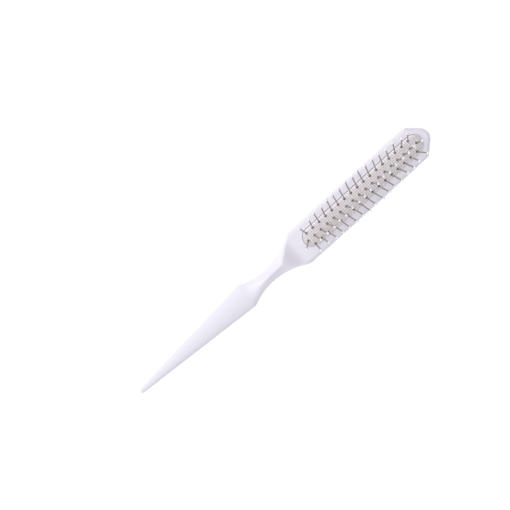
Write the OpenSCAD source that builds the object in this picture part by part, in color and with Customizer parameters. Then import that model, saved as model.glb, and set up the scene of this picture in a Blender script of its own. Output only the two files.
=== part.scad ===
// Wire-pin cushion brush with a tapered sectioning tail.
// It lies on its back: +X runs from the tail's tip to the nose of the head, +Z is the way the pins point.
// The origin is on the resting plane, half way along the brush and in the middle of its width.

/* [Handle outline] */
// Length from the tail's tip to the nose of the head
overall_length = 230; // [192:1:276]
// Width half way along the head
head_width = 23.2; // [19.3:0.1:27.8]
// How much wider the head is in its middle than at its ends
head_bulge = 0.5; // [0:0.1:1.5]
// Plain face between the shoulder corner and the cushion
shoulder_land = 6.2; // [4:0.1:10]
// Plain face between the cushion and the nose
nose_land = 5.9; // [4.5:0.1:9]
// Radius of the nose
nose_radius = 6.5; // [5.5:0.1:8]
// Angle between the head's side and the cut-off corner beside the nose
nose_cut_angle = 43; // [35:1:55]
// Width of the neck at its narrowest
neck_width = 8.2; // [6.8:0.1:9.8]
// Radius of the hollow curve on each side of the neck
neck_curve_radius = 39; // [32:0.5:47]
// Distance from the narrowest point of the neck to the widest point of the grip
grip_to_neck = 17.3; // [14:0.1:20]
// Width of the grip where its taper meets the neck curve
grip_width = 16.1; // [13.4:0.1:19.3]
// Radius of the tail's tip
tip_radius = 1.65; // [1.4:0.05:2]

/* [Handle thickness] */
// Height of the flat face round the cushion
head_height = 6.6; // [6.2:0.1:8]
// Height of the head's widest line, where its rounded rim starts
head_edge_height = 3.6; // [3:0.1:4.3]
// Width of the rounded rim round the head's face
rim_width = 2.6; // [2:0.1:3]
// Height of the ridge on the neck
neck_height = 10.8; // [9:0.1:12.9]
// Height of the neck's widest line
neck_edge_height = 6.2; // [5.2:0.1:7.4]
// Thickness at the widest point of the grip
grip_height = 6.3; // [5.3:0.1:7.6]
// Height of the grip's widest line
grip_edge_height = 3.9; // [3.2:0.1:4.7]
// Thickness at the tail's tip
tip_height = 3.4; // [2.9:0.1:4]
// Height of the tip's widest line
tip_edge_height = 2.3; // [1.9:0.1:2.8]
// How far the back's flat is drawn in from the tail's and the neck's sides
back_inset = 1.4; // [1:0.05:1.45]
// Width of the flat strip along the crowned back of the head
back_flat_width = 7; // [5:0.1:9]

/* [Cushion] */
// Length of the cushion
pad_length = 92.2; // [77:0.1:111]
// Width of the cushion
pad_width = 11.8; // [11.4:0.1:13]
// Height of the cushion above the handle's face
pad_crown = 2.9; // [2.4:0.1:3.5]
// Thickness of the woven facing
cloth_thickness = 0.35; // [0.25:0.05:0.5]
// Thickness of the rubber under the facing
rubber_thickness = 1.05; // [0.8:0.05:1.1]
// Gap all round between the cushion and the edge of its opening
opening_gap = 0.15; // [0.15:0.05:0.4]
// How deep the facing's edge is tucked into the opening
cloth_tuck = 0.5; // [0.2:0.1:0.8]
// Thickness of the handle's lip over the cushion's flange
lip_thickness = 1; // [0.8:0.1:1.3]
// Width of the lip over the flange
lip_overlap = 0.65; // [0.4:0.05:0.9]
// Thickness of the cushion's flange
flange_thickness = 1.1; // [0.9:0.05:1.3]
// Width of the ledge that the flange sits on
ledge_width = 2.1; // [1.6:0.1:2.2]
// Depth of the air space below the ledge
air_depth = 1.3; // [0.9:0.1:1.6]

/* [Pins] */
// Pins in each outer row
outer_pins = 17; // [5:1:17]
// Pins in the middle row
middle_pins = 18; // [5:1:18]
// Distance from the middle row to each outer row
row_spacing = 4.1; // [3.7:0.05:4.2]
// From the cushion's near end to the first pin of an outer row
outer_near_margin = 4.3; // [4.2:0.1:7]
// From the cushion's far end to the last pin of an outer row
outer_far_margin = 7.7; // [5:0.1:10]
// From the cushion's near end to the first pin of the middle row
middle_near_margin = 2.1; // [2.1:0.1:6]
// From the cushion's far end to the last pin of the middle row
middle_far_margin = 4.6; // [3:0.1:8]
// How far each pin stands out of the cushion, ball included
pin_length = 13; // [11:0.1:15.6]
// Diameter of the pins' wire
wire_diameter = 0.8; // [0.7:0.05:1]
// Diameter of the ball tips
ball_diameter = 1.55; // [1.4:0.05:1.9]
// Diameter of the flat head on each pin's inner end
pin_head_diameter = 1.5; // [1.3:0.05:1.7]
// Thickness of the flat head
pin_head_thickness = 0.35; // [0.25:0.05:0.5]
// Depth of the flat head's top below the cushion's surface, along the pin
pin_head_depth = 2.05; // [1.8:0.05:2.3]
// Diameter of the punched holes in the facing
cloth_hole_diameter = 1.6; // [1.4:0.1:1.9]
// Running clearance round the wire in the rubber
wire_clearance = 0.05; // [0.02:0.01:0.1]
// Clearance round the wire in a ball tip
ball_clearance = 0.02; // [0.01:0.01:0.05]

/* [Pin lean] */
// Outward lean of the outer rows at their other ends
outer_end_lean = 22; // [15:1:25]
// Outward lean of the left row at its nose end
left_far_lean = 14; // [12:1:25]
// Outward lean of the outer rows in their middle
outer_middle_lean = 34; // [26:1:36]
// Lean to the left that both outer rows have on top of their outward lean
outer_left_lean = 5; // [0:1:5]
// Sideways lean of the middle row at its handle end
middle_near_lean = 17; // [0:1:17]
// Sideways lean of the middle row at its nose end
middle_far_lean = -1; // [-2:1:6]
// Sideways lean of the middle row's first pin
first_middle_lean = 8; // [0:1:17]
// Lean of the middle row's first pin towards the handle
first_middle_fan = 22; // [0:1:24]
// Lean of the left row's first pin towards the handle
first_left_fan = 10; // [0:1:12]
// Lean of the right row's first pin towards the handle
first_right_fan = 4; // [0:1:12]
// Lean of the right row's last pin towards the nose, beyond the others' lean
last_right_fan = 6; // [0:1:8]
// Lean of the other pins towards the nose
fore_lean = 3; // [0:0.5:5]
// How far a single pin strays from its row's lean
pin_stray = 2; // [0:0.5:3]

/* [Hidden] */
$fn = 48;
LEFT = 0;
MIDDLE = 1;
RIGHT = 2;
ROWS = [LEFT, MIDDLE, RIGHT];
ROW_NAMES = ["left", "middle", "right"];
ROW_SIDES = [1, 0, -1];

function pin_count(row) = row == MIDDLE ? middle_pins : outer_pins;
function pin_name(row, i) = str(ROW_NAMES[row], "_row_pin_", i < 10 ? "0" : "", i);
function tips_name(row) = str(ROW_NAMES[row], "_row_ball_tips");

plastic = [0.93, 0.92, 0.95];
rubber = [0.36, 0.30, 0.28];
cloth = [0.83, 0.81, 0.80];
steel = [0.62, 0.58, 0.56];
nylon = [0.98, 0.97, 0.99];
cut = 0.01; // extra length that carries a cut through a face

// ---- stations along the brush ----
tip_x = -overall_length / 2;
nose_x = overall_length / 2;
tip_centre_x = tip_x + tip_radius;
nose_centre_x = nose_x - nose_radius;
pad_far_x = nose_x - nose_land;
pad_near_x = pad_far_x - pad_length;
shoulder_x = pad_near_x - shoulder_land;
head_end_half = (head_width - head_bulge) / 2;
neck_drop = head_end_half - neck_width / 2;
neck_x = shoulder_x - sqrt(pow(neck_curve_radius, 2) - pow(neck_curve_radius - neck_drop, 2));
grip_x = neck_x - grip_to_neck;
ridge_run = 9.2; // how far the ridge runs on from the narrowest point of the neck
scoop_x = neck_x + ridge_run;
head_middle_x = (shoulder_x + nose_x) / 2;
nose_corner_x = nose_centre_x
    + (nose_radius - head_end_half * cos(nose_cut_angle)) / sin(nose_cut_angle);

// ---- curves ----
function clamp01(t) = max(0, min(1, t));
function ease(t) = pow(clamp01(t), 2) * (3 - 2 * clamp01(t));
function ramp(x, x0, x1) = clamp01((x - x0) / (x1 - x0));
function mix(a, b, t) = a + (b - a) * t;
function soft_min(a, b, reach) = min(a, b) - pow(max(reach - abs(a - b), 0), 2) / (4 * reach);

// ---- the handle's half width ----
neck_blend = 1; // reach of the blend between the tail and the neck
shoulder_blend = 1.6; // reach of the blend at the shoulder corner
nose_blend = 0.8; // reach of the blend at the cut-off corner
grip_run = grip_x - tip_centre_x;
taper_angle = acos(tip_radius / norm([grip_width / 2, grip_run])) - atan2(grip_run, grip_width / 2);
function round_or_line(along, radius, angle) =
    along > radius * sin(angle)
        ? sqrt(max(0, pow(radius, 2) - pow(along, 2)))
        : (radius - along * sin(angle)) / cos(angle);
function tail_half(x) = round_or_line(tip_centre_x - x, tip_radius, taper_angle);
function nose_half(x) = round_or_line(x - nose_centre_x, nose_radius, nose_cut_angle);
function neck_half(x) =
    let (reach = min(abs(x - neck_x), neck_curve_radius))
    neck_width / 2 + neck_curve_radius - sqrt(pow(neck_curve_radius, 2) - pow(reach, 2));
function head_half(x) =
    head_width / 2
    - head_bulge / 2 * pow((x - head_middle_x) / (nose_x - head_middle_x), 2);
function half_width(x) =
    x < neck_x
        ? soft_min(tail_half(x), neck_half(x), neck_blend)
        : soft_min(soft_min(neck_half(x), head_half(x), shoulder_blend), nose_half(x), nose_blend);

// ---- the handle's heights ----
// Height of the widest line
function edge_height(x) =
    x < grip_x ? mix(tip_edge_height, grip_edge_height, ramp(x, tip_x, grip_x))
    : x < neck_x ? mix(grip_edge_height, neck_edge_height, ease(ramp(x, grip_x, neck_x)))
    : mix(neck_edge_height, head_edge_height, ease(ramp(x, scoop_x, shoulder_x)));
// Height of the middle of the front
function crest_height(x) =
    x < grip_x ? mix(tip_height, grip_height, ramp(x, tip_x, grip_x))
    : x < neck_x ? mix(grip_height, neck_height, ease(ramp(x, grip_x, neck_x)))
    : mix(neck_height, head_height, ease(ramp(x, scoop_x, shoulder_x)));
crest_flat = 0.15; // half width left flat along the crest of the tail and the neck
scoop_half = half_width(scoop_x) - crest_flat;
// Width of the sloping or rounded band between the widest line and the front's middle
function front_band(x) =
    x < scoop_x
        ? (x < tip_centre_x ? tip_radius : half_width(x)) - crest_flat
        : mix(scoop_half, rim_width, ramp(x, scoop_x, shoulder_x));
nose_back_flat = 1; // half width of the back's flat at the nose
nose_back_inset = nose_radius - nose_back_flat;
head_back_inset = head_end_half - back_flat_width / 2;
back_widen_end_x = shoulder_x + 8; // where the back's crown has reached its full width
back_narrow_x = nose_corner_x - 25; // where it starts to draw in to the nose
back_narrow_end_x = nose_corner_x - 2;
// Width of the drawn-in or crowned band between the widest line and the back's flat
function back_band(x) =
    x < neck_x ? back_inset
    : x < head_middle_x ? mix(back_inset, head_back_inset, ease(ramp(x, neck_x, back_widen_end_x)))
    : mix(head_back_inset, nose_back_inset, ease(ramp(x, back_narrow_x, back_narrow_end_x)));
// Roundness of the front, as a pair of powers: a dome on the tail, a ridge on the neck and a
// quarter round on the head
dome = [2.3, 1.2];
ridge = [1.3, 1];
rim = [2, 2];
function front_round(x) =
    x < neck_x ? mix(dome, ridge, ease(ramp(x, grip_x, neck_x)))
    : mix(ridge, rim, ease(ramp(x, scoop_x, shoulder_x)));
back_round = 2.2;

// ---- the handle's mesh: rings from the back's flat, over the widest line, to the front's middle ----
// Stations stand closer round the tip, the grip, the shoulder, the cut-off corner and the nose
function steps(from, to, count) = [for (i = [0:count - 1]) mix(from, to, i / count)];
grip_reach = 3;
shoulder_reach = 4;
corner_reach = 2.5;
nose_arc = 90 - nose_cut_angle;
nose_steps = 6;
stations = concat(
    [for (a = [0:15:75]) tip_x + tip_radius * (1 - cos(a))],
    steps(tip_x + 2 * tip_radius, grip_x - grip_reach, 7),
    steps(grip_x - grip_reach, grip_x + grip_reach, 7),
    steps(grip_x + grip_reach, shoulder_x - shoulder_reach, 15),
    steps(shoulder_x - shoulder_reach, shoulder_x + shoulder_reach, 8),
    steps(shoulder_x + shoulder_reach, nose_corner_x - corner_reach, 6),
    steps(nose_corner_x - corner_reach, nose_corner_x + corner_reach, 6),
    [for (k = [0:nose_steps]) nose_centre_x + nose_radius * cos(nose_arc * (1 - k / nose_steps))]
);
last = len(stations) - 1;
outline = [for (i = [0:last]) [stations[i], i == 0 || i == last ? 0 : half_width(stations[i])]];

function unit(v) = v / norm(v);
// Outward direction at a station: square to the outline on the head and at the tip, sideways elsewhere
function outward(i) =
    i == 0 ? [-1, 0]
    : i == last ? [1, 0]
    : stations[i] > tip_centre_x && stations[i] < shoulder_x + shoulder_reach ? [0, 1]
    : let (d = outline[i + 1] - outline[i - 1]) unit([-d[1], d[0]]);

function back_point(i, t) =
    let (x = stations[i], p = outline[i] - outward(i) * back_band(x) * (1 - t))
    [p[0], p[1], edge_height(x) * (1 - pow(1 - pow(t, back_round), 1 / back_round))];
function front_point(i, t) =
    let (
        x = stations[i],
        p = outline[i] - outward(i) * front_band(x) * (1 - t),
        power = front_round(x),
        rise = pow(1 - pow(t, power[0]), 1 / power[1])
    )
    [p[0], p[1], mix(edge_height(x), crest_height(x), rise)];

back_steps = [0, 0.3, 0.52, 0.7, 0.84, 0.94, 1];
front_steps = [0.97, 0.9, 0.78, 0.62, 0.45, 0.28, 0.12, 0];
half_rings = concat(
    [for (t = back_steps) [for (i = [0:last]) back_point(i, t)]],
    [for (t = front_steps) [for (i = [0:last]) front_point(i, t)]]
);
ring_count = len(half_rings);
ring_size = 2 * last;
function mirrored(p) = [p[0], -p[1], p[2]];
handle_points = [
    for (half = half_rings) for (k = [0:ring_size - 1])
        k <= last ? half[k] : mirrored(half[ring_size - k])
];
// The flat back and the front's middle are strips of triangles across the brush
function strip(base, i, flip) =
    let (
        a = base + i,
        b = base + i + 1,
        c = base + (ring_size - i - 1) % ring_size,
        d = base + (ring_size - i) % ring_size,
        faces = i == 0 ? [[a, b, c]] : i == last - 1 ? [[a, b, d]] : [[a, b, c], [a, c, d]]
    )
    [for (f = faces) flip ? [f[2], f[1], f[0]] : f];
handle_faces = concat(
    [for (i = [0:last - 1]) each strip(0, i, false)],
    [
        for (r = [0:ring_count - 2]) for (k = [0:ring_size - 1])
            let (
                a = r * ring_size + k,
                b = r * ring_size + (k + 1) % ring_size,
                c = b + ring_size,
                d = a + ring_size
            )
            each [[a, d, c], [a, c, b]]
    ],
    [for (i = [0:last - 1]) each strip((ring_count - 1) * ring_size, i, true)]
);

// ---- the cushion's seat ----
opening_half = pad_width / 2 + opening_gap;
groove_half = opening_half + lip_overlap;
air_half = groove_half - ledge_width;
flange_clearance = 0.05; // round the flange in its groove
ledge_z = head_height - lip_thickness - flange_thickness - flange_clearance;
near_centre_x = pad_near_x + pad_width / 2;
far_centre_x = pad_far_x - pad_width / 2;

// Long round-ended block of half width r from z0 to z1
module round_ended_block(r, z0, z1) {
    translate([0, 0, z0])
        linear_extrude(z1 - z0) {
            translate([near_centre_x, -r]) square([far_centre_x - near_centre_x, 2 * r]);
            translate([near_centre_x, 0]) circle(r);
            translate([far_centre_x, 0]) circle(r);
        }
}

module handle() {
    color(plastic)
        difference() {
            polyhedron(handle_points, handle_faces);
            round_ended_block(opening_half, ledge_z + cut, head_height + pad_crown);
            round_ended_block(groove_half, ledge_z, head_height - lip_thickness);
            round_ended_block(air_half, ledge_z - air_depth, ledge_z + cut);
        }
}

// ---- the cushion ----
crown_round_in = 3.6;
crown_round_out = 1.6;
// Height of a crowned layer above the handle's face, at distance r from the cushion's middle line
function crown(r, half, height) =
    height * pow(max(0, 1 - pow(min(r / half, 1), crown_round_in)), 1 / crown_round_out);
crown_steps = [for (a = [0:9:90]) sin(a)];
function crown_line(half, height) =
    [for (s = crown_steps) [s * half, head_height + crown(s * half, half, height)]];
function reversed(list) = [for (i = [len(list) - 1:-1:0]) list[i]];

cloth_half = pad_width / 2;
rubber_half = cloth_half - cloth_thickness;
rubber_crown = pad_crown - cloth_thickness;
inner_half = rubber_half - rubber_thickness;
inner_crown = rubber_crown - rubber_thickness;
flange_half = groove_half - flange_clearance;

// Sweeps a half section, given as [distance from the middle line, height], round the cushion
module swept_round(section) {
    run = far_centre_x - near_centre_x;
    translate([near_centre_x, 0, 0]) rotate([0, 0, 90]) rotate_extrude(angle = 180) polygon(section);
    translate([far_centre_x, 0, 0]) rotate([0, 0, -90]) rotate_extrude(angle = 180) polygon(section);
    for (side = [-1, 1])
        translate([near_centre_x, 0, 0])
            rotate([90, 0, 90])
                linear_extrude(run) polygon([for (p = section) [side * p[0], p[1]]]);
}

module rubber_cushion() {
    section = concat(
        crown_line(rubber_half, rubber_crown),
        [
            [rubber_half, ledge_z + flange_thickness],
            [flange_half, ledge_z + flange_thickness],
            [flange_half, ledge_z],
            [inner_half, ledge_z]
        ],
        reversed(crown_line(inner_half, inner_crown))
    );
    color(rubber)
        difference() {
            swept_round(section);
            for (row = ROWS) for (i = [1:pin_count(row)])
                on_pin_axis(row, i)
                    translate([0, 0, -2 * pin_head_depth])
                        cylinder(d = wire_diameter + 2 * wire_clearance, h = 4 * pin_head_depth);
        }
}

module facing_cloth() {
    section = concat(
        crown_line(cloth_half, pad_crown),
        [[cloth_half, head_height - cloth_tuck], [rubber_half, head_height - cloth_tuck]],
        reversed(crown_line(rubber_half, rubber_crown))
    );
    color(cloth)
        difference() {
            swept_round(section);
            for (row = ROWS) for (i = [1:pin_count(row)])
                on_pin_axis(row, i)
                    translate([0, 0, -pin_head_depth])
                        cylinder(d = cloth_hole_diameter, h = 2 * pin_head_depth);
        }
}

// ---- the pins ----
function near_margin(row) = row == MIDDLE ? middle_near_margin : outer_near_margin;
function far_margin(row) = row == MIDDLE ? middle_far_margin : outer_far_margin;
function along_row(row, i) = (i - 1) / (pin_count(row) - 1);
function pin_x(row, i) =
    mix(pad_near_x + near_margin(row), pad_far_x - far_margin(row), along_row(row, i));
function pin_y(row) = ROW_SIDES[row] * row_spacing;
function from_spine(x, y) = norm([max(near_centre_x - x, x - far_centre_x, 0), y]);
function pin_base(row, i) =
    let (x = pin_x(row, i), y = pin_y(row))
    [x, y, head_height + crown(from_spine(x, y), cloth_half, pad_crown)];

// Angles that a single pin's stray turns through from pin to pin and from row to row
side_turn = 151;
nose_turn = 97;
row_turn = 75;
function stray(row, i, turn) = pin_stray * sin(i * turn + row * row_turn);
// Sideways lean of the middle row's pins
function middle_lean(i) =
    i == 1 ? first_middle_lean : mix(middle_near_lean, middle_far_lean, along_row(MIDDLE, i));
// Outward lean of an outer row at the end that the pin is nearer to
function end_lean(row, i) =
    row == LEFT && along_row(row, i) > 0.5 ? left_far_lean : outer_end_lean;
// Lean towards +Y
function side_lean(row, i) =
    stray(row, i, side_turn)
    + (row == MIDDLE
        ? -middle_lean(i)
        : outer_left_lean
            + ROW_SIDES[row] * mix(end_lean(row, i), outer_middle_lean, sin(180 * along_row(row, i))));
// Lean of each row's first pin towards the handle, from the left row to the right one
first_fans = [first_left_fan, first_middle_fan, first_right_fan];
function last_fan(row, i) = row == RIGHT && i == pin_count(row) ? last_right_fan : 0;
// Lean towards the nose
function nose_lean(row, i) =
    i == 1 ? -first_fans[row]
    : fore_lean + stray(row, i, nose_turn) + last_fan(row, i);

module on_pin_axis(row, i) {
    translate(pin_base(row, i)) rotate([-side_lean(row, i), nose_lean(row, i), 0]) children();
}

ball_radius = ball_diameter / 2;
wire_into_ball = 0.3; // how far the wire runs past the ball's middle
wire_top = pin_length - ball_radius + wire_into_ball;

module pin(row, i) {
    color(steel)
        on_pin_axis(row, i)
            translate([0, 0, -pin_head_depth]) {
                cylinder(d = wire_diameter, h = pin_head_depth + wire_top);
                translate([0, 0, -pin_head_thickness])
                    cylinder(d = pin_head_diameter, h = pin_head_thickness);
            }
}

module ball_tips(row) {
    color(nylon)
        for (i = [1:pin_count(row)])
            on_pin_axis(row, i)
                translate([0, 0, pin_length - ball_radius])
                    difference() {
                        sphere(d = ball_diameter);
                        translate([0, 0, -ball_diameter])
                            cylinder(
                                d = wire_diameter + 2 * ball_clearance,
                                h = ball_diameter + wire_into_ball + ball_clearance
                            );
                    }
}

handle();
rubber_cushion();
facing_cloth();
for (row = ROWS) for (i = [1:pin_count(row)])
    pin(row, i);
for (row = ROWS)
    ball_tips(row);
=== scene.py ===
"""Wire-pin brush with a tapered tail, lying on its back: handle, cushion, pins and a plain stage."""

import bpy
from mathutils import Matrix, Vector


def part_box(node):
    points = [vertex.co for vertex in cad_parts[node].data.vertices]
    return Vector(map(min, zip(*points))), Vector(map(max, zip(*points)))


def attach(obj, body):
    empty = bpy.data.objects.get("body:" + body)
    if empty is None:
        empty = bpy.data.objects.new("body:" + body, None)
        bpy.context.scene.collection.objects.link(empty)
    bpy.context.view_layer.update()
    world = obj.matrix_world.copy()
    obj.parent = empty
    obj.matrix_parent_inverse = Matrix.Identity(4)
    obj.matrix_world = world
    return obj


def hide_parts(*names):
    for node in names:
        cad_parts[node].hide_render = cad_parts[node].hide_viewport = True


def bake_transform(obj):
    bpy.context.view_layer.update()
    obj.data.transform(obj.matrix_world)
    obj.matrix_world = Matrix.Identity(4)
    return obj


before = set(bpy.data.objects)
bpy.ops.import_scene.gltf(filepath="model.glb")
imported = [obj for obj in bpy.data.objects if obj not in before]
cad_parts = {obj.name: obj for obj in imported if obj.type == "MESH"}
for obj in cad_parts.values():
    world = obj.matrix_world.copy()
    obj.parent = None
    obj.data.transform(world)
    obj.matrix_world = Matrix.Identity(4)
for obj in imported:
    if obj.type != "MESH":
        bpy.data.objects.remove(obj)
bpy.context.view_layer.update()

import math

import bmesh
import bpy
import numpy as np
from bpy.props import FloatProperty, FloatVectorProperty, PointerProperty
from mathutils import Matrix, Vector

bl_info = {
    "name": "Wire Pin Tail Brush",
    "version": (1, 0, 0),
    "blender": (4, 5, 0),
    "location": "3D View > Sidebar > Brush",
    "description": "Builds a cushion brush with wire pins and a tapered sectioning tail",
    "category": "Add Mesh",
}

MM = 0.001
HANDLE_LOW, HANDLE_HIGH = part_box("handle")
CLOTH_LOW, CLOTH_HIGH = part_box("facing_cloth")
RUBBER_LOW, RUBBER_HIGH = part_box("rubber_cushion")
# Powers of the cushion's crown: a higher one makes its top flatter, or its sides steeper
CROWN_TOP_POWER = 3.6
CROWN_SIDE_POWER = 1.6
CROWN_STEPS = 24
# Points closer than this are one point
SAME_POINT = 1e-7
# Sides of the round bars that shape the holes
BAR_SIDES = 20
PIN_NODES = sorted(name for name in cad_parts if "_row_pin_" in name)
TIP_NODES = sorted(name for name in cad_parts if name.endswith("_row_ball_tips"))


def linear(hex_colour):
    """Linear red, green and blue of an sRGB hex colour."""
    channels = [int(hex_colour[k : k + 2], 16) / 255 for k in (1, 3, 5)]
    return tuple(c / 12.92 if c <= 0.04045 else ((c + 0.055) / 1.055) ** 2.4 for c in channels)


WHITE = (*linear("#FFFFFF"), 1)


# ---- sizes and colours that a user may change ----


class BrushHandleSizes(bpy.types.PropertyGroup):
    shoulder_land: FloatProperty(
        name="Shoulder land",
        description="Plain face between the shoulder corner and the cushion",
        default=6.2 * MM,
        unit="LENGTH",
    )
    head_bulge: FloatProperty(
        name="Head bulge",
        description="How much wider the head is in its middle than at its ends",
        default=0.5 * MM,
        unit="LENGTH",
    )
    nose_radius: FloatProperty(
        name="Nose radius",
        description="Radius of the rounded nose",
        default=6.5 * MM,
        unit="LENGTH",
    )
    nose_cut_angle: FloatProperty(
        name="Nose cut angle",
        description="Angle between the head's side and the cut-off corner beside the nose",
        default=math.radians(43),
        subtype="ANGLE",
    )
    neck_width: FloatProperty(
        name="Neck width",
        description="Width of the neck at its narrowest",
        default=8.2 * MM,
        unit="LENGTH",
    )
    neck_curve_radius: FloatProperty(
        name="Neck curve radius",
        description="Radius of the hollow curve on each side of the neck",
        default=39 * MM,
        unit="LENGTH",
    )
    grip_to_neck: FloatProperty(
        name="Grip to neck",
        description="Distance from the neck's narrowest point to the grip's widest",
        default=17.3 * MM,
        unit="LENGTH",
    )
    grip_width: FloatProperty(
        name="Grip width",
        description="Width of the grip where its taper meets the neck curve",
        default=16.1 * MM,
        unit="LENGTH",
    )
    tip_radius: FloatProperty(
        name="Tip radius",
        description="Radius of the tail's tip",
        default=1.65 * MM,
        unit="LENGTH",
    )
    head_height: FloatProperty(
        name="Head height",
        description="Height of the flat face round the cushion",
        default=6.6 * MM,
        unit="LENGTH",
    )
    head_edge_height: FloatProperty(
        name="Head edge height",
        description="Height of the head's widest line, where its rounded rim starts",
        default=3.6 * MM,
        unit="LENGTH",
    )
    rim_width: FloatProperty(
        name="Rim width",
        description="Width of the rounded rim round the head's face",
        default=2.6 * MM,
        unit="LENGTH",
    )
    neck_edge_height: FloatProperty(
        name="Neck edge height",
        description="Height of the neck's widest line",
        default=6.2 * MM,
        unit="LENGTH",
    )
    grip_height: FloatProperty(
        name="Grip height",
        description="Thickness at the grip's widest point",
        default=6.3 * MM,
        unit="LENGTH",
    )
    grip_edge_height: FloatProperty(
        name="Grip edge height",
        description="Height of the grip's widest line",
        default=3.9 * MM,
        unit="LENGTH",
    )
    tip_height: FloatProperty(
        name="Tip height",
        description="Thickness at the tail's tip",
        default=3.4 * MM,
        unit="LENGTH",
    )
    tip_edge_height: FloatProperty(
        name="Tip edge height",
        description="Height of the tip's widest line",
        default=2.3 * MM,
        unit="LENGTH",
    )
    back_inset: FloatProperty(
        name="Back inset",
        description="How far the back's flat is drawn in from the tail's and the neck's sides",
        default=1.4 * MM,
        unit="LENGTH",
    )
    back_flat_width: FloatProperty(
        name="Back flat width",
        description="Width of the flat strip along the crowned back of the head",
        default=7 * MM,
        unit="LENGTH",
    )


class BrushCushionSizes(bpy.types.PropertyGroup):
    opening_gap: FloatProperty(
        name="Opening gap",
        description="Gap all round between the cushion and the edge of its opening",
        default=0.15 * MM,
        unit="LENGTH",
    )
    opening_shift: FloatVectorProperty(
        name="Opening shift",
        description="How far the opening lies off the cushion's middle, along and across the brush",
        default=(-0.07 * MM, 0.11 * MM),
        size=2,
        unit="LENGTH",
    )
    lip_thickness: FloatProperty(
        name="Lip thickness",
        description="Thickness of the handle's lip over the cushion's flange",
        default=1 * MM,
        unit="LENGTH",
    )
    lip_overlap: FloatProperty(
        name="Lip overlap",
        description="Width of the lip over the flange",
        default=0.65 * MM,
        unit="LENGTH",
    )
    lip_round: FloatProperty(
        name="Lip round",
        description="Radius of the rounded edge of the opening",
        default=0.15 * MM,
        unit="LENGTH",
    )
    ledge_width: FloatProperty(
        name="Ledge width",
        description="Width of the ledge that the flange sits on",
        default=2.1 * MM,
        unit="LENGTH",
    )
    air_depth: FloatProperty(
        name="Air depth",
        description="Depth of the air space below the ledge",
        default=1.3 * MM,
        unit="LENGTH",
    )
    cloth_thickness: FloatProperty(
        name="Facing thickness",
        description="Thickness of the woven facing",
        default=0.35 * MM,
        unit="LENGTH",
    )
    rubber_thickness: FloatProperty(
        name="Rubber thickness",
        description="Thickness of the rubber under the facing",
        default=1.05 * MM,
        unit="LENGTH",
    )
    flange_thickness: FloatProperty(
        name="Flange thickness",
        description="Thickness of the cushion's flange",
        default=1.1 * MM,
        unit="LENGTH",
    )
    hole_diameter: FloatProperty(
        name="Hole diameter",
        description="Diameter of the punched holes in the facing",
        default=1.6 * MM,
        unit="LENGTH",
    )
    wire_hole_diameter: FloatProperty(
        name="Wire hole diameter",
        description="Diameter of the holes for the wires in the rubber",
        default=0.9 * MM,
        unit="LENGTH",
    )
    collar_diameter: FloatProperty(
        name="Collar diameter",
        description="Diameter of the rubber that swells up into the facing's holes round the middle row",
        default=1.5 * MM,
        unit="LENGTH",
    )
    collar_depth: FloatProperty(
        name="Collar depth",
        description="Depth of that rubber's top below the facing's surface",
        default=0.04 * MM,
        unit="LENGTH",
    )
    pin_root: FloatProperty(
        name="Pin root",
        description="Length of each pin that lies below the cushion's surface",
        default=2.4 * MM,
        unit="LENGTH",
    )
    pucker_depth: FloatProperty(
        name="Pucker depth",
        description="How far the facing is drawn down round each pin",
        default=0.12 * MM,
        unit="LENGTH",
    )
    pucker_radius: FloatProperty(
        name="Pucker radius",
        description="How far from each pin the facing is drawn down",
        default=1.3 * MM,
        unit="LENGTH",
    )


class BrushFinish(bpy.types.PropertyGroup):
    plastic_colour: FloatVectorProperty(
        name="Plastic",
        description="Colour of the moulded handle",
        default=linear("#F4F1FD"),
        subtype="COLOR",
    )
    thread_colour: FloatVectorProperty(
        name="Thread",
        description="Colour of the facing's threads",
        default=linear("#FFFBFF"),
        subtype="COLOR",
    )
    # Painted shade: the gaps are drawn darker than the rubber that shows through them, for the shade between
    # the threads
    shaded_gap_colour: FloatVectorProperty(
        name="Thread gaps",
        description="Colour between the facing's threads, where the rubber shows through",
        default=linear("#5E5456"),
        subtype="COLOR",
    )
    rubber_colour: FloatVectorProperty(
        name="Rubber",
        description="Colour of the rubber cushion under the facing",
        default=linear("#A28C86"),
        subtype="COLOR",
    )
    wire_colour: FloatVectorProperty(
        name="Wire",
        description="Colour of the pins' wire",
        default=linear("#B9ADA8"),
        subtype="COLOR",
    )
    ball_colour: FloatVectorProperty(
        name="Ball tips",
        description="Colour of the ball tips",
        default=linear("#F8F6FB"),
        subtype="COLOR",
    )
    # Painted light: how much lighter the facing's sloping shoulders are drawn than its top, for the light
    # that falls on them
    shoulder_painted_light: FloatProperty(
        name="Shoulder lightness",
        description="Brightness of the facing's shoulder, where nothing rubs it, with its handled top at 1",
        default=1.17,
        min=1.0,
        max=1.3,
    )
    thread_spacing: FloatProperty(
        name="Thread spacing",
        description="Distance from thread to thread in the facing, drawn coarser than the real 0.85 mm",
        default=1.33 * MM,
        unit="LENGTH",
    )


class BrushStage(bpy.types.PropertyGroup):
    camera_distance: FloatProperty(
        name="Camera distance",
        description="Distance from the camera to the point that it looks at",
        default=0.561,
        unit="LENGTH",
    )
    camera_tilt: FloatProperty(
        name="Camera tilt",
        description="How far the camera leans from straight above, towards the brush's left side",
        default=math.radians(3.5),
        subtype="ANGLE",
    )
    camera_turn: FloatProperty(
        name="Camera turn",
        description="Angle of the brush in the picture, with the head's end up",
        default=math.radians(42.3),
        subtype="ANGLE",
    )
    field_of_view: FloatProperty(
        name="Field of view",
        description="Angle that the camera takes in across the picture",
        default=math.radians(30),
        subtype="ANGLE",
    )
    key_power: FloatProperty(
        name="Key power",
        description="Power of the soft light beside the tail",
        default=5,
        unit="POWER",
    )
    world_strength: FloatProperty(
        name="Room light",
        description="Brightness of the room halfway between its lit side and its dark side",
        default=0.31,
    )


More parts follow.
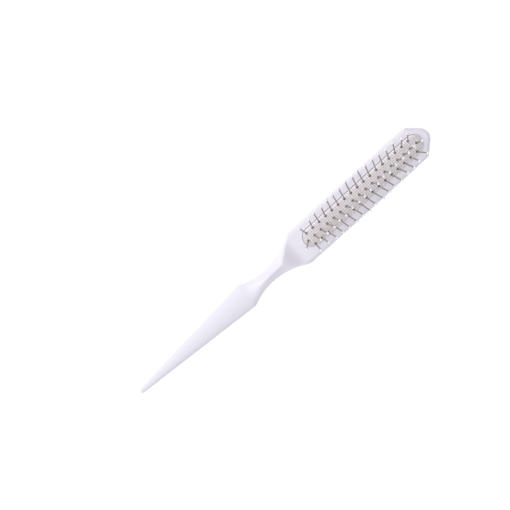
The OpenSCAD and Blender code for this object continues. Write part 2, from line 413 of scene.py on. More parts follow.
def settings():
    """The scene's four groups of settings."""
    scene = bpy.context.scene
    return scene.brush_handle, scene.brush_cushion, scene.brush_finish, scene.brush_stage


# ---- curves ----


def ease(t):
    """From 0 to 1 with a level start and end."""
    t = np.clip(t, 0, 1)
    return t * t * (3 - 2 * t)


def ramp(x, start, end):
    """From 0 before start to 1 after end."""
    return np.clip((x - start) / (end - start), 0, 1)


def mix(a, b, t):
    """From a at 0 to b at 1."""
    return a + (b - a) * t


def soft_min(a, b, reach):
    """The lower of two curves, blended where they are closer than the reach."""
    return np.minimum(a, b) - np.maximum(reach - np.abs(a - b), 0) ** 2 / (4 * reach)


def round_or_line(along, radius, angle):
    """Half width of a round end, and of the straight side that leaves it at that angle."""
    on_arc = np.sqrt(np.maximum(radius**2 - along**2, 0))
    on_line = (radius - along * math.sin(angle)) / math.cos(angle)
    return np.where(along > radius * math.sin(angle), on_arc, on_line)


class HandleShape:
    """The handle's outline and heights along the brush, from the tail's tip to the nose."""

    # Roundness of the outline's inner and outer corners
    NECK_BLEND = 1 * MM
    SHOULDER_BLEND = 1.6 * MM
    NOSE_BLEND = 0.8 * MM
    # Length of the neck's ridge, from the neck's narrowest point to where the face scoops down
    RIDGE_RUN = 9.2 * MM
    # Half width of the narrow flat along the tail's and the neck's crest
    CREST_FLAT = 0.15 * MM
    # Radius of the back's flat at the nose
    NOSE_BACK_FLAT = 1 * MM
    # How far past the shoulder the back's rounded side widens, and where it narrows before the corner
    BACK_WIDENS = 8 * MM
    BACK_NARROWS_FROM = 25 * MM
    BACK_NARROWS_TO = 2 * MM
    # Roundness as a pair of powers: a dome on the tail, a ridge on the neck, a quarter round on the head
    DOME = np.array([2.3, 1.2])
    RIDGE = np.array([1.3, 1])
    RIM = np.array([2, 2])
    BACK_ROUND = 2.2
    # Where the rim's direction turns at the cut-off corner: slowly, so that the back's flat doesn't fold
    TURN_BEFORE = 6 * MM
    TURN_AFTER = 4 * MM
    # How far the close steps reach on each side of the grip and the shoulder, and round the corner
    GRIP_REACH = 3 * MM
    SHOULDER_REACH = 4 * MM
    CORNER_BEFORE = 4 * MM
    CORNER_AFTER = 2 * MM
    # The first step past the tip's round end, in tip radii
    PAST_TIP = 1.05
    TIP_DEGREES = np.arange(0, 88, 8)
    CUT_STEPS = 5
    NOSE_STEPS = 18
    NEVER_ZERO = 1e-9

    def __init__(self, sizes):
        self.sizes = s = sizes
        self.tip_x, self.nose_x = HANDLE_LOW.x, HANDLE_HIGH.x
        self.neck_height, self.head_half = HANDLE_HIGH.z, HANDLE_HIGH.y
        self.tip_centre_x = self.tip_x + s.tip_radius
        self.nose_centre_x = self.nose_x - s.nose_radius
        self.shoulder_x = CLOTH_LOW.x - s.shoulder_land
        end_half = self.head_half - s.head_bulge / 2
        drop = end_half - s.neck_width / 2
        radius = s.neck_curve_radius
        self.neck_x = self.shoulder_x - math.sqrt(radius**2 - (radius - drop) ** 2)
        self.grip_x = self.neck_x - s.grip_to_neck
        self.scoop_x = self.neck_x + self.RIDGE_RUN
        self.head_middle_x = (self.shoulder_x + self.nose_x) / 2
        cut = s.nose_cut_angle
        corner_run = (s.nose_radius - end_half * math.cos(cut)) / math.sin(cut)
        self.nose_corner_x = self.nose_centre_x + corner_run
        run = self.grip_x - self.tip_centre_x
        self.taper = math.acos(s.tip_radius / math.hypot(s.grip_width / 2, run))
        self.taper -= math.atan2(run, s.grip_width / 2)
        self.head_back_inset = end_half - s.back_flat_width / 2
        self.scoop_half = self.half_width(np.array([self.scoop_x]))[0] - self.CREST_FLAT

    def half_width(self, x):
        """Half width of the outline."""
        s = self.sizes
        tail = round_or_line(self.tip_centre_x - x, s.tip_radius, self.taper)
        nose = round_or_line(x - self.nose_centre_x, s.nose_radius, s.nose_cut_angle)
        reach = np.minimum(np.abs(x - self.neck_x), s.neck_curve_radius)
        neck = s.neck_width / 2 + s.neck_curve_radius - np.sqrt(s.neck_curve_radius**2 - reach**2)
        bulge = ((x - self.head_middle_x) / (self.nose_x - self.head_middle_x)) ** 2
        head = self.head_half - s.head_bulge / 2 * bulge
        head_end = soft_min(soft_min(neck, head, self.SHOULDER_BLEND), nose, self.NOSE_BLEND)
        half = np.where(x < self.neck_x, soft_min(tail, neck, self.NECK_BLEND), head_end)
        return np.where((x <= self.tip_x) | (x >= self.nose_x), 0, half)

    def along(self, x, tip, grip, neck, head):
        """A height that runs from the tip's to the grip's, the neck's and the head's."""
        on_tail = mix(tip, grip, ramp(x, self.tip_x, self.grip_x))
        on_neck = mix(grip, neck, ease(ramp(x, self.grip_x, self.neck_x)))
        on_head = mix(neck, head, ease(ramp(x, self.scoop_x, self.shoulder_x)))
        return np.where(x < self.grip_x, on_tail, np.where(x < self.neck_x, on_neck, on_head))

    def edge_height(self, x):
        """Height of the widest line, where the front and the back meet."""
        s = self.sizes
        return self.along(x, s.tip_edge_height, s.grip_edge_height, s.neck_edge_height, s.head_edge_height)

    def crest_height(self, x):
        """Height of the front's highest line."""
        s = self.sizes
        return self.along(x, s.tip_height, s.grip_height, self.neck_height, s.head_height)

    def front_band(self, x):
        """Width of the front's rounded side: all of it on the tail, only the rim on the head."""
        tail_half = np.where(x < self.tip_centre_x, self.sizes.tip_radius, self.half_width(x))
        on_tail = tail_half - self.CREST_FLAT
        on_head = mix(self.scoop_half, self.sizes.rim_width, ramp(x, self.scoop_x, self.shoulder_x))
        return np.where(x < self.scoop_x, on_tail, on_head)

    def back_band(self, x):
        """Width of the back's rounded side."""
        s = self.sizes
        widening = ease(ramp(x, self.neck_x, self.shoulder_x + self.BACK_WIDENS))
        near = mix(s.back_inset, self.head_back_inset, widening)
        start_x = self.nose_corner_x - self.BACK_NARROWS_FROM
        end_x = self.nose_corner_x - self.BACK_NARROWS_TO
        nose_inset = s.nose_radius - self.NOSE_BACK_FLAT
        far = mix(self.head_back_inset, nose_inset, ease(ramp(x, start_x, end_x)))
        return np.where(x < self.head_middle_x, near, far)

    def front_powers(self, x):
        """The front's roundness, as a pair of powers for each place."""
        on_neck = ease(ramp(x, self.grip_x, self.neck_x))[:, None]
        on_head = ease(ramp(x, self.scoop_x, self.shoulder_x))[:, None]
        tail_side = mix(self.DOME, self.RIDGE, on_neck)
        return np.where((x < self.neck_x)[:, None], tail_side, mix(self.RIDGE, self.RIM, on_head))

    def stations(self):
        """Places along the brush, closer round the tip, the grip, the shoulder, the corner and the nose."""
        s = self.sizes
        tip = self.tip_x + s.tip_radius * (1 - np.cos(np.radians(self.TIP_DEGREES)))
        # Where each stretch starts, and its number of steps
        marks = [
            (self.tip_x + self.PAST_TIP * s.tip_radius, 70),
            (self.grip_x - self.GRIP_REACH, 24),
            (self.grip_x + self.GRIP_REACH, 70),
            (self.shoulder_x - self.SHOULDER_REACH, 36),
            (self.shoulder_x + self.SHOULDER_REACH, 60),
            (self.nose_corner_x - self.CORNER_BEFORE, 36),
            (self.nose_corner_x + self.CORNER_AFTER, 0),
        ]
        runs = [np.linspace(a, b, n, endpoint=False) for (a, n), (b, _) in zip(marks, marks[1:])]
        arc = np.linspace(math.pi / 2 - s.nose_cut_angle, 0, self.NOSE_STEPS)
        nose = self.nose_centre_x + s.nose_radius * np.cos(arc)
        side = np.linspace(marks[-1][0], nose[0], self.CUT_STEPS)
        return np.concatenate([tip, *runs, side[:-1], nose])

    def outward(self, x, half):
        """Outward direction: along the brush at its two ends, turning to sideways beside them."""
        s = self.sizes
        facing_tip = np.arccos(np.clip((self.tip_centre_x - x) / s.tip_radius, 0, 1))
        facing_nose = np.arctan2(half, np.maximum(x - self.nose_centre_x, self.NEVER_ZERO))
        start_x, end_x = self.nose_corner_x - self.TURN_BEFORE, self.nose_corner_x + self.TURN_AFTER
        cut = math.pi / 2 - s.nose_cut_angle * ease(ramp(x, start_x, end_x))
        on_nose = np.minimum(cut, np.maximum(facing_nose, 0))
        angle = np.where(x < self.grip_x, math.pi - facing_tip, on_nose)
        angle = np.where((x > self.grip_x) & (x < self.nose_centre_x), cut, angle)
        return np.stack([np.cos(angle), np.sin(angle)], axis=1)


# ---- mesh building ----


def grid_faces(rows, columns):
    """Quads of a grid of points, closed across its columns."""
    quads = []
    for first in range(0, (rows - 1) * columns, columns):
        for k in range(columns):
            beside = (k + 1) % columns
            quads.append((first + k, first + beside, first + columns + beside, first + columns + k))
    return quads


def mesh_object(name, points, faces, uv=None):
    """A closed object from points and faces, with points that coincide joined."""
    mesh = bpy.data.meshes.new(name)
    mesh.from_pydata([tuple(p) for p in points], [], faces)
    if uv is not None:
        layer = mesh.uv_layers.new(name="weave")
        corners = np.zeros(len(mesh.loops), int)
        mesh.loops.foreach_get("vertex_index", corners)
        layer.uv.foreach_set("vector", np.asarray(uv, np.float32)[corners].ravel())
    work = bmesh.new()
    work.from_mesh(mesh)
    bmesh.ops.remove_doubles(work, verts=work.verts, dist=SAME_POINT)
    bmesh.ops.dissolve_degenerate(work, edges=work.edges, dist=SAME_POINT)
    bmesh.ops.recalc_face_normals(work, faces=work.faces)
    work.to_mesh(mesh)
    work.free()
    made = bpy.data.objects.new(name, mesh)
    bpy.context.scene.collection.objects.link(made)
    return made


def carve(piece, cutter, operation="DIFFERENCE"):
    """Cuts the cutter's shape out of the piece, or joins it on, and removes the cutter."""
    modifier = piece.modifiers.new("cut", "BOOLEAN")
    modifier.operation = operation
    modifier.solver = "EXACT"
    modifier.object = cutter
    evaluated = piece.evaluated_get(bpy.context.evaluated_depsgraph_get())
    carved = bpy.data.meshes.new_from_object(evaluated)
    piece.modifiers.clear()
    piece.data = carved
    bpy.data.objects.remove(cutter)


def finish_mesh(piece, sharp_degrees):
    """Smooth shading, with a crease wherever two faces meet at more than the angle."""
    piece.data.shade_smooth()
    piece.data.set_sharp_from_angle(angle=math.radians(sharp_degrees))


def dress(piece, material):
    """Gives a piece its one material."""
    piece.data.materials.clear()
    piece.data.materials.append(material)


def stadium(radius, height, straight_steps, arc_steps):
    """A loop round the cushion's middle line: points, their anchors on the line, and their directions."""
    near, far = CLOTH_LOW.x + CLOTH_HIGH.y, CLOTH_HIGH.x - CLOTH_HIGH.y
    out = np.linspace(near, far, straight_steps, endpoint=False)
    back = out[::-1] + out[1] - out[0]
    arc = np.linspace(0, math.pi, arc_steps, endpoint=False)
    quarter = math.pi / 2
    level = np.zeros(straight_steps)
    anchors = np.concatenate([out, np.full(arc_steps, far), back, np.full(arc_steps, near)])
    angles = np.concatenate([level - quarter, arc - quarter, level + quarter, arc + quarter])
    directions = np.stack([np.cos(angles), np.sin(angles)], axis=1)
    points = radius * directions + np.outer(anchors, (1, 0))
    return np.column_stack([points, np.full(len(anchors), height)]), anchors, directions


def stadium_loft(name, section, straight_steps=40, arc_steps=24, lengths=None):
    """A solid whose section, as [distance from the middle line, height], runs round the cushion."""
    loops = [stadium(radius, height, straight_steps, arc_steps) for radius, height in section]
    points = np.concatenate([loop[0] for loop in loops])
    uv = None
    if lengths is not None:
        # Laid out flat, in metres, by the lengths along the section
        flat = [length * loop[2] + np.outer(loop[1], (1, 0)) for loop, length in zip(loops, lengths)]
        uv = np.concatenate(flat)
    return mesh_object(name, points, grid_faces(len(section), len(loops[0][0])), uv)


def pin_line(node):
    """Bottom and top centres of a pin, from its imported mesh."""
    # Points within this of an end, along the pin, are on that end's rim
    rim = 0.02 * MM
    points = np.unique(np.round([v.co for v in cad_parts[node].data.vertices], 7), axis=0)
    centre = points.mean(0)
    axis = np.linalg.svd(points - centre, full_matrices=False)[2][0]
    axis *= math.copysign(1, axis[2])
    along = (points - centre) @ axis
    return points[along < along.min() + rim].mean(0), points[along > along.max() - rim].mean(0)


def pin_bars(name, diameter, sizes, nodes, start, end):
    """Round bars on the pins' axes, from start to end as measured upwards from the cushion's surface."""
    turn = np.linspace(0, 2 * math.pi, BAR_SIDES, endpoint=False)
    points, faces = [], []
    for node in nodes:
        bottom, top = (Vector(p) for p in pin_line(node))
        axis = (top - bottom).normalized()
        base = bottom + axis * sizes.pin_root
        across = axis.orthogonal().normalized()
        beside = axis.cross(across)
        first = len(points)
        for place in (start, end):
            for a in turn:
                out = across * math.cos(a) + beside * math.sin(a)
                points.append(base + axis * place + out * diameter / 2)
        faces += [tuple(first + k for k in quad) for quad in grid_faces(2, BAR_SIDES)]
        faces.append(tuple(first + k for k in reversed(range(BAR_SIDES))))
        faces.append(tuple(first + BAR_SIDES + k for k in range(BAR_SIDES)))
    return mesh_object(name, points, faces)


def crown_line(half, height, face):
    """The cushion's crown from its middle line to its edge, as [distance from the middle line, height]."""
    share = np.sin(np.linspace(0, math.pi / 2, CROWN_STEPS))
    rise = (1 - share**CROWN_TOP_POWER) ** (1 / CROWN_SIDE_POWER)
    return list(zip(half * share, face + height * rise))


def fit_soft_piece(piece, material, node):
    """Finishes a piece of the cushion: smooth shading, its one material, the imported part hidden, and its
    place baked into its points.
    """
    finish_mesh(piece, sharp_degrees=50)
    dress(piece, material)
    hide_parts(node)
    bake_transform(piece)


# ---- finishes ----


def set_inputs(tree, node, sockets):
    """Sets or links a node's inputs, given by name or number; a node stands for its first output."""
    for key, value in dict(sockets).items():
        if isinstance(value, bpy.types.Node):
            value = value.outputs[0]
        if isinstance(value, bpy.types.NodeSocket):
            tree.links.new(value, node.inputs[key])
        else:
            node.inputs[key].default_value = value


def add_node(tree, kind, sockets=(), **values):
    """Adds a node with its settings and its inputs."""
    made = tree.nodes.new(kind)
    for name, value in values.items():
        setattr(made, name, value)
    set_inputs(tree, made, sockets)
    return made


def new_material(name):
    """A material with its node tree and its shader node."""
    material = bpy.data.materials.new(name)
    material.use_nodes = True
    return material, material.node_tree, material.node_tree.nodes["Principled BSDF"]


def moulded_abs(finish):
    """White ABS, injection moulded: a soft gloss over a fine eroded grain, polished a little by use."""
    # The mould's grain is about 0.05 mm wide, and is drawn coarser so that it shows
    grain_width = 0.45 * MM
    grain_shade = 0.965
    # Slow waves where the plastic shrank as it cooled
    sink_width = 14 * MM
    material, tree, shader = new_material("moulded_white_abs")
    place = add_node(tree, "ShaderNodeTexCoord").outputs["Object"]
    grain = add_node(
        tree,
        "ShaderNodeTexNoise",
        {"Vector": place, "Scale": 1 / grain_width, "Detail": 3, "Roughness": 0.6},
    )
    sink = add_node(tree, "ShaderNodeTexNoise", {"Vector": place, "Scale": 1 / sink_width, "Detail": 1})
    handled = add_node(
        tree,
        "ShaderNodeMapRange",
        {"Value": sink, "From Min": 0.35, "From Max": 0.65, "To Min": 0.3, "To Max": 0.4},
    )
    shade = add_node(
        tree,
        "ShaderNodeMix",
        {
            "Factor": grain,
            "A": (*finish.plastic_colour, 1),
            "B": (*(c * grain_shade for c in finish.plastic_colour), 1),
        },
        data_type="RGBA",
    )
    wave = add_node(tree, "ShaderNodeBump", {"Height": sink, "Strength": 0.25, "Distance": 0.05 * MM})
    rough = add_node(
        tree, "ShaderNodeBump", {"Height": grain, "Strength": 0.3, "Distance": 0.01 * MM, "Normal": wave}
    )
    base = shade.outputs["Result"]
    set_inputs(tree, shader, {"Base Color": base, "Roughness": handled, "IOR": 1.53, "Normal": rough})
    return material


def woven_cotton(finish):
    """Plain-woven cotton tape, bonded on rubber: round threads over and under, with brown gaps between."""
    # The real threads lie 0.85 mm apart, and are drawn further apart so that the weave shows
    spacing = finish.thread_spacing
    # How softly one set of threads gives way to the other at a crossing
    crossing_blend = 0.3
    # Below 1, more of each thread is at its full height and colour
    thread_fullness = 0.62
    # Loose fibre dulls the threads in patches, and thick and thin threads follow each other
    fray_width = 1.6 * MM
    fray_shade = linear("#FDFBFC")
    slubs_per_thread = 1.6
    # The painted light on the long sides' shoulders starts and ends at these shares of the half width
    shoulder_start, shoulder_end = 0.72, 0.88
    # Painted shade: the end by the hand is drawn greyer over this length, against the light that falls on it
    shaded_end_length = 5 * MM
    shaded_end_darkness = 0.86
    material, tree, shader = new_material("woven_cotton_facing")
    place = add_node(tree, "ShaderNodeUVMap", uv_map="weave")
    fray = add_node(tree, "ShaderNodeTexNoise", {"Vector": place, "Scale": 1 / fray_width, "Detail": 2})
    split = add_node(tree, "ShaderNodeSeparateXYZ", {"Vector": place})
    waves, threads, slubs = [], [], []
    for axis in ("X", "Y"):
        turns = add_node(
            tree, "ShaderNodeMath", {0: split.outputs[axis], 1: math.pi / spacing}, operation="MULTIPLY"
        )
        wave = add_node(tree, "ShaderNodeMath", {0: turns}, operation="SINE")
        thread = add_node(tree, "ShaderNodeMath", {0: wave}, operation="ABSOLUTE")
        slub = add_node(
            tree,
            "ShaderNodeTexNoise",
            {"W": split.outputs[axis], "Scale": slubs_per_thread / spacing, "Detail": 1},
            noise_dimensions="1D",
        )
        waves.append(wave)
        threads.append(thread)
        slubs.append(slub)
    # Over and under: from crossing to crossing, the other set of threads lies on top
    crossing = add_node(tree, "ShaderNodeMath", {0: waves[0], 1: waves[1]}, operation="MULTIPLY")
    upper = add_node(
        tree,
        "ShaderNodeMapRange",
        {
            "Value": crossing,
            "From Min": -crossing_blend,
            "From Max": crossing_blend,
            "To Min": threads[1],
            "To Max": threads[0],
        },
    )
    round_top = add_node(tree, "ShaderNodeMath", {0: upper, 1: thread_fullness}, operation="POWER")
    # Painted shade: each thread darkens from its top towards the gaps, where it dives under the other set
    shade = add_node(
        tree,
        "ShaderNodeMix",
        {"Factor": round_top, "A": (*finish.shaded_gap_colour, 1), "B": (*finish.thread_colour, 1)},
        data_type="RGBA",
    )
    worn = add_node(
        tree,
        "ShaderNodeMix",
        {"Factor": fray, "A": shade.outputs["Result"], "B": (*fray_shade, 1)},
        data_type="RGBA",
        blend_type="MULTIPLY",
    )
    uneven = add_node(tree, "ShaderNodeMath", {0: slubs[0], 1: slubs[1]}, operation="ADD")
    strength = add_node(
        tree,
        "ShaderNodeMapRange",
        {"Value": uneven, "From Min": 0.75, "From Max": 1.25, "To Min": 0.95, "To Max": 1.07},
    )
    lined = add_node(
        tree, "ShaderNodeVectorMath", {0: worn.outputs["Result"], "Scale": strength}, operation="SCALE"
    )
    # Painted light: the shoulder on each long side, outside the pins, is drawn lighter, for the light that
    # falls on its slope
    across = add_node(tree, "ShaderNodeMath", {0: split.outputs["Y"]}, operation="ABSOLUTE")
    painted_shoulder_light = add_node(
        tree,
        "ShaderNodeMapRange",
        {
            "Value": across,
            "From Min": shoulder_start * CLOTH_HIGH.y,
            "From Max": shoulder_end * CLOTH_HIGH.y,
            "To Min": 1,
            "To Max": finish.shoulder_painted_light,
        },
    )
    # Painted shade: greyer towards the end by the hand
    painted_end_shade = add_node(
        tree,
        "ShaderNodeMapRange",
        {
            "Value": split.outputs["X"],
            "From Min": CLOTH_LOW.x,
            "From Max": CLOTH_LOW.x + shaded_end_length,
            "To Min": shaded_end_darkness,
            "To Max": 1,
        },
    )
    tone = add_node(tree, "ShaderNodeMath", {0: painted_shoulder_light, 1: painted_end_shade}, operation="MULTIPLY")
    edged = add_node(tree, "ShaderNodeVectorMath", {0: lined, "Scale": tone}, operation="SCALE")
    relief = add_node(tree, "ShaderNodeBump", {"Height": round_top, "Strength": 0.6, "Distance": 0.07 * MM})
    set_inputs(tree, shader, {"Base Color": edged, "Normal": relief})
    set_inputs(tree, shader, {"Roughness": 0.85, "Sheen Weight": 1, "Sheen Roughness": 0.4, "IOR": 1.46})
    return material


def moulded_rubber(finish):
    """Brown natural rubber, compression moulded: dull, with a faint bloom."""
    # Bloom, a film of wax and sulphur, leaves lighter and darker patches
    bloom_width = 0.8 * MM
    bloom_shade = 0.75
    material, tree, shader = new_material("moulded_brown_rubber")
    place = add_node(tree, "ShaderNodeTexCoord").outputs["Object"]
    bloom = add_node(tree, "ShaderNodeTexNoise", {"Vector": place, "Scale": 1 / bloom_width, "Detail": 4})
    shade = add_node(
        tree,
        "ShaderNodeMix",
        {
            "Factor": bloom,
            "A": (*finish.rubber_colour, 1),
            "B": (*(c * bloom_shade for c in finish.rubber_colour), 1),
        },
        data_type="RGBA",
    )
    relief = add_node(tree, "ShaderNodeBump", {"Height": bloom, "Strength": 0.4, "Distance": 0.04 * MM})
    set_inputs(tree, shader, {"Base Color": shade.outputs["Result"], "Normal": relief})
    set_inputs(tree, shader, {"Roughness": 0.7, "IOR": 1.52})
    return material


def drawn_wire(finish):
    """Drawn steel wire: a brown-grey sheen with fine die marks."""
    # The die's marks run up the wire; they are about 0.01 mm wide, and are drawn coarser so that they show
    mark_width = 0.12 * MM
    mark_length = 1.5 * MM
    material, tree, shader = new_material("drawn_steel_wire")
    place = add_node(tree, "ShaderNodeTexCoord").outputs["Object"]
    drawn = add_node(tree, "ShaderNodeMapping", {"Vector": place, "Scale": (1, 1, mark_width / mark_length)})
    marks = add_node(tree, "ShaderNodeTexNoise", {"Vector": drawn, "Scale": 1 / mark_width, "Detail": 2})
    dull = add_node(tree, "ShaderNodeMapRange", {"Value": marks, "To Min": 0.28, "To Max": 0.45})
    relief = add_node(tree, "ShaderNodeBump", {"Height": marks, "Strength": 0.2, "Distance": 0.01 * MM})
    set_inputs(tree, shader, {"Roughness": dull, "Normal": relief})
    set_inputs(tree, shader, {"Base Color": (*finish.wire_colour, 1), "Metallic": 1})
    return material


def moulded_nylon(finish):
    """White nylon balls, moulded on the wires: glossy, with a faintly uneven skin."""
    # The skin's gloss varies in patches smaller than half a ball
    cloud_width = 0.6 * MM
    material, tree, shader = new_material("moulded_white_nylon")
    place = add_node(tree, "ShaderNodeTexCoord").outputs["Object"]
    cloud = add_node(tree, "ShaderNodeTexNoise", {"Vector": place, "Scale": 1 / cloud_width, "Detail": 2})
    gloss = add_node(tree, "ShaderNodeMapRange", {"Value": cloud, "To Min": 0.1, "To Max": 0.22})
    set_inputs(tree, shader, {"Base Color": (*finish.ball_colour, 1), "Roughness": gloss, "IOR": 1.53})
    set_inputs(tree, shader, {"Coat Weight": 0.3, "Coat Roughness": 0.08})
    return material


# ---- operators ----


class BRUSH_OT_stage(bpy.types.Operator):
    """Adds the floor, the lights and the camera"""

    bl_idname = "pin_brush.stage"
    bl_label = "Add Stage"

    # The point that the camera looks at, and the nearest and farthest that it sees
    LOOK_AT = Vector((-9.63, 14.65, 4.5)) * MM
    NEAREST, FARTHEST = 0.01, 20
    # Brightness that the room gains towards the tail's end, the brush's left side and overhead
    LIGHT_SIDE = (-0.54, 0.37, 0.83)
    # Brightness of the room's dark side
    DARK_SIDE = 0.1
    KEY_PLACE = (-1.9, 1.13, 1.38)
    KEY_WIDTH = 1.7
    FLOOR_REACH = 12
    FLOOR_GAP = 0.05 * MM
    # The light that comes up through the floor
    FLOOR_GLOW = 0.88
    FLOOR_COLOUR = linear("#7C7C7C")

    def execute(self, context):
        stage = settings()[3]
        self.add_camera(context.scene, stage)
        self.add_floor(context.scene)
        self.add_lights(context.scene, stage)
        context.scene.view_settings.view_transform = "Standard"
        return {"FINISHED"}

    def add_camera(self, scene, stage):
        lean, turn = stage.camera_tilt, stage.camera_turn
        back = Vector((0, math.sin(lean), math.cos(lean)))
        right = Vector((math.cos(turn), -math.sin(turn), 0))
        right = (right - back * right.dot(back)).normalized()
        up = back.cross(right)
        data = bpy.data.cameras.new("camera")
        data.angle = stage.field_of_view
        data.clip_start, data.clip_end = self.NEAREST, self.FARTHEST
        camera = bpy.data.objects.new("camera", data)
        axes = Matrix((right, up, back)).transposed()
        place = self.LOOK_AT + back * stage.camera_distance
        camera.matrix_world = Matrix.Translation(place) @ axes.to_4x4()
        scene.collection.objects.link(camera)
        scene.camera = camera

    def add_floor(self, scene):
        """A sheet of white acrylic that is lit from below, which leaves hardly any shadow."""
        mesh = bpy.data.meshes.new("floor")
        reach, z = self.FLOOR_REACH, -self.FLOOR_GAP
        corners = [(-reach, -reach, z), (reach, -reach, z), (reach, reach, z), (-reach, reach, z)]
        mesh.from_pydata(corners, [], [(0, 1, 2, 3)])
        floor = bpy.data.objects.new("floor", mesh)
        scene.collection.objects.link(floor)
        material, tree, shader = new_material("lit_white_acrylic")
        set_inputs(tree, shader, {"Base Color": (*self.FLOOR_COLOUR, 1), "Roughness": 0.6})
        set_inputs(tree, shader, {"Emission Color": WHITE, "Emission Strength": self.FLOOR_GLOW})
        mesh.materials.append(material)

    def add_lights(self, scene, stage):
        world = bpy.data.worlds.new("even_room")
        world.use_nodes = True
        tree = world.node_tree
        toward = add_node(tree, "ShaderNodeTexCoord").outputs["Generated"]
        gain = add_node(
            tree, "ShaderNodeVectorMath", {0: toward, 1: self.LIGHT_SIDE}, operation="DOT_PRODUCT"
        )
        level = add_node(
            tree, "ShaderNodeMath", {0: gain.outputs["Value"], 1: stage.world_strength}, operation="ADD"
        )
        strength = add_node(tree, "ShaderNodeMath", {0: level, 1: self.DARK_SIDE}, operation="MAXIMUM")
        room = add_node(tree, "ShaderNodeBackground", {"Color": WHITE, "Strength": strength})
        # The wall behind the floor's far edge is white, and lights nothing
        wall = add_node(tree, "ShaderNodeBackground", {"Color": WHITE, "Strength": 1})
        seen = add_node(tree, "ShaderNodeLightPath").outputs["Is Camera Ray"]
        both = add_node(tree, "ShaderNodeMixShader", {0: seen, 1: room, 2: wall})
        set_inputs(tree, tree.nodes["World Output"], {"Surface": both})
        scene.world = world
        data = bpy.data.lights.new("key", "AREA")
        data.shape = "DISK"
        data.size = self.KEY_WIDTH
        data.energy = stage.key_power
        key = bpy.data.objects.new("key", data)
        key.location = self.KEY_PLACE
        key.rotation_mode = "QUATERNION"
        key.rotation_quaternion = (-key.location).to_track_quat("-Z", "Y")
        scene.collection.objects.link(key)


class BRUSH_OT_handle(bpy.types.Operator):
    """Builds the moulded handle with the seat for its cushion"""

    bl_idname = "pin_brush.handle"
    bl_label = "Build Handle"

    BACK_FLAT_STEPS = 4
    BACK_STEPS = 14
    FRONT_STEPS = 24
    FRONT_FLAT_STEPS = 4
    LIP_STEPS = 6
    # How far a cutter runs past what it cuts
    CUT_BEYOND = 0.5 * MM

    def execute(self, context):
        sizes, cushion, finish, _ = settings()
        handle = self.build_shell(HandleShape(sizes))
        face, opening = sizes.head_height, CLOTH_HIGH.y + cushion.opening_gap
        under_lip = face - cushion.lip_thickness
        carve(handle, self.seat_cutter(under_lip, opening + cushion.lip_overlap, cushion))
        carve(handle, self.opening_cutter(face, under_lip, opening, cushion))
        finish_mesh(handle, sharp_degrees=40)
        dress(handle, moulded_abs(finish))
        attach(handle, "handle")
        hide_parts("handle")
        return {"FINISHED"}

    def build_shell(self, shape):
        """The handle without its seat, from rings of points round the brush."""
        x = shape.stations()
        half = shape.half_width(x)
        outward = shape.outward(x, half)
        edge, crest = shape.edge_height(x), shape.crest_height(x)
        powers = shape.front_powers(x)
        edge_line = np.column_stack([x, half])
        rows = []
        back_inner = edge_line - outward * shape.back_band(x)[:, None]
        for share in np.linspace(0, 1, self.BACK_FLAT_STEPS, endpoint=False):
            rows.append(np.column_stack([back_inner[:, 0], back_inner[:, 1] * share, np.zeros(len(x))]))
        for t in np.sin(np.linspace(0, math.pi / 2, self.BACK_STEPS)):
            line = edge_line - outward * (shape.back_band(x) * (1 - t))[:, None]
            height = edge * (1 - (1 - t**shape.BACK_ROUND) ** (1 / shape.BACK_ROUND))
            rows.append(np.column_stack([line, height]))
        for t in np.sin(np.linspace(math.pi / 2, 0, self.FRONT_STEPS))[1:]:
            line = edge_line - outward * (shape.front_band(x) * (1 - t))[:, None]
            rise = (1 - t ** powers[:, 0]) ** (1 / powers[:, 1])
            rows.append(np.column_stack([line, mix(edge, crest, rise)]))
        inner = rows[-1]
        for share in np.linspace(1, 0, self.FRONT_FLAT_STEPS)[1:]:
            rows.append(inner * (1, share, 1))
        side = np.stack(rows, axis=1)
        side[:, :, 1] = np.maximum(side[:, :, 1], 0)
        other = side[:, -2:0:-1] * (1, -1, 1)
        rings = np.concatenate([side, other], axis=1)
        return mesh_object("brush_handle", rings.reshape(-1, 3), grid_faces(*rings.shape[:2]))

    def seat_cutter(self, under_lip, groove, cushion):
        """The hollow under the lip: the ledge that the flange sits on and the air space inside it."""
        ledge = RUBBER_LOW.z
        floor = ledge - cushion.air_depth
        air = groove - cushion.ledge_width
        air_space = [(0, floor), (air, floor), (air, ledge)]
        flange_space = [(groove, ledge), (groove, under_lip), (0, under_lip)]
        return stadium_loft("seat_cutter", air_space + flange_space)

    def opening_cutter(self, face, under_lip, opening, cushion):
        """The way through the lip, with a rounded edge and a little off the cushion's middle."""
        lip = cushion.lip_round
        bends = np.linspace(0, math.pi / 2, self.LIP_STEPS)
        rounded = [(opening + lip * (1 - math.cos(a)), face - lip * (1 - math.sin(a))) for a in bends]
        start, end = under_lip - self.CUT_BEYOND, face + self.CUT_BEYOND
        section = [(0, start), (opening, start), *rounded, (rounded[-1][0], end), (0, end)]
        cutter = stadium_loft("opening_cutter", section)
        cutter.data.transform(Matrix.Translation((*cushion.opening_shift, 0)))
        return cutter


